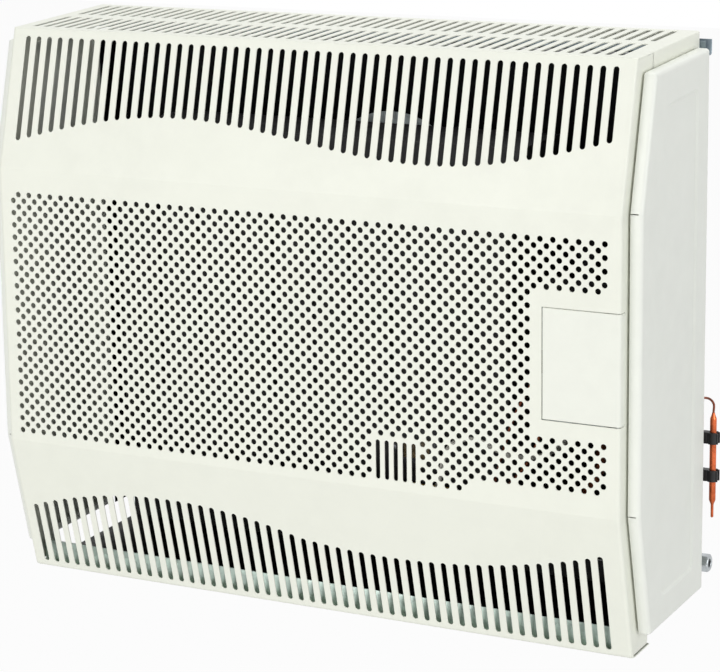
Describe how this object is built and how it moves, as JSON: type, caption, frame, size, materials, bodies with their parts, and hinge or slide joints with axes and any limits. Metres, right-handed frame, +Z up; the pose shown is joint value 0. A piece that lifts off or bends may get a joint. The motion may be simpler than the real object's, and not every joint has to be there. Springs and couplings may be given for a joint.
{
  "type": "wall mounted gas heater",
  "caption": "Wall hung balanced-flue gas heater: slotted and perforated cream steel casing with side covers, hinged control door, exchanger, burner and gas valve inside.",
  "frame": {"origin": "centre of the wall face: on the rear plane of the back frame, at half the casing's width and height", "axes": "+X to the right as seen from the room, +Y into the wall, +Z up; the front faces -Y"},
  "size_m": [0.7296, 0.26, 0.5947],
  "materials": {
    "cream_paint": "satin powder coat",
    "galvanised": "galvanised sheet",
    "black_enamel": "matt heat-proof enamel",
    "steel": "zinc plated",
    "aluminium": "die-cast",
    "brass": "machined",
    "copper": "drawn copper",
    "black_plastic": "moulded",
    "red_plastic": "moulded",
    "white_silicone": "sleeved lead",
    "ceramic": "glazed porcelain",
    "sight_glass": "heat-proof",
    "sealant": "fibre seal"
  },
  "bodies": {
    "root": {"casing_front": "cream_paint", "casing_top": "cream_paint", "side_cover_left": "cream_paint", "side_cover_right": "cream_paint", "door_catch": "black_plastic", "door_hinge_upper": "steel", "door_hinge_lower": "steel", "back_frame": "galvanised", "wall_bracket": "galvanised", "base_tray": "galvanised", "air_duct": "galvanised", "flue_seal": "sealant", "flue_duct": "aluminium", "combustion_chamber": "black_enamel", "burner_housing": "galvanised", "burner_tube": "steel", "chamber_bracket_left": "galvanised", "chamber_bracket_right": "galvanised", "burner_shelf": "galvanised", "sight_glass": "sight_glass", "sight_glass_frame": "steel", "sight_screw_left": "steel", "sight_screw_right": "steel", "control_panel": "galvanised", "gas_valve": "aluminium", "valve_bracket": "galvanised", "piezo_igniter": "black_plastic", "gas_inlet_elbow": "brass", "gas_inlet_nut": "galvanised", "gas_inlet_pipe": "copper", "burner_supply_pipe": "copper", "pilot_burner": "brass", "pilot_pipe": "copper", "thermocouple": "copper", "thermocouple_lead": "copper", "ignition_electrode": "ceramic", "ignition_lead": "white_silicone", "thermostat_bulb": "copper", "capillary_tube": "copper", "bulb_clip_upper": "black_plastic", "bulb_clip_lower": "black_plastic", "casing_screw_left": "steel", "casing_screw_right": "steel"},
    "door": {"control_door": "cream_paint"},
    "spindle": {"valve_spindle": "brass"},
    "knob": {"control_knob": "black_plastic"},
    "igniter_button": {"piezo_button": "red_plastic"}
  },
  "joints": [
    {"name": "door_hinge", "type": "hinge", "parent": "root", "child": "door", "pos_m": [0.3415, -0.2265, 0.00375], "axis": [0, 0, 1], "range_deg": [0, 100]},
    {"name": "knob_turn", "type": "hinge", "parent": "root", "child": "spindle", "pos_m": [0.302, -0.175, 0.016], "axis": [0, 1, 0], "range_deg": [0, 270]},
    {"name": "knob_press", "type": "slide", "parent": "spindle", "child": "knob", "axis": [0, 1, 0], "range_m": [0, 0.005], "stiffness_N_per_m": 900, "springref_m": -0.004},
    {"name": "button_press", "type": "slide", "parent": "root", "child": "igniter_button", "axis": [0, 1, 0], "range_m": [0, 0.006], "stiffness_N_per_m": 600, "springref_m": -0.004}
  ]
}
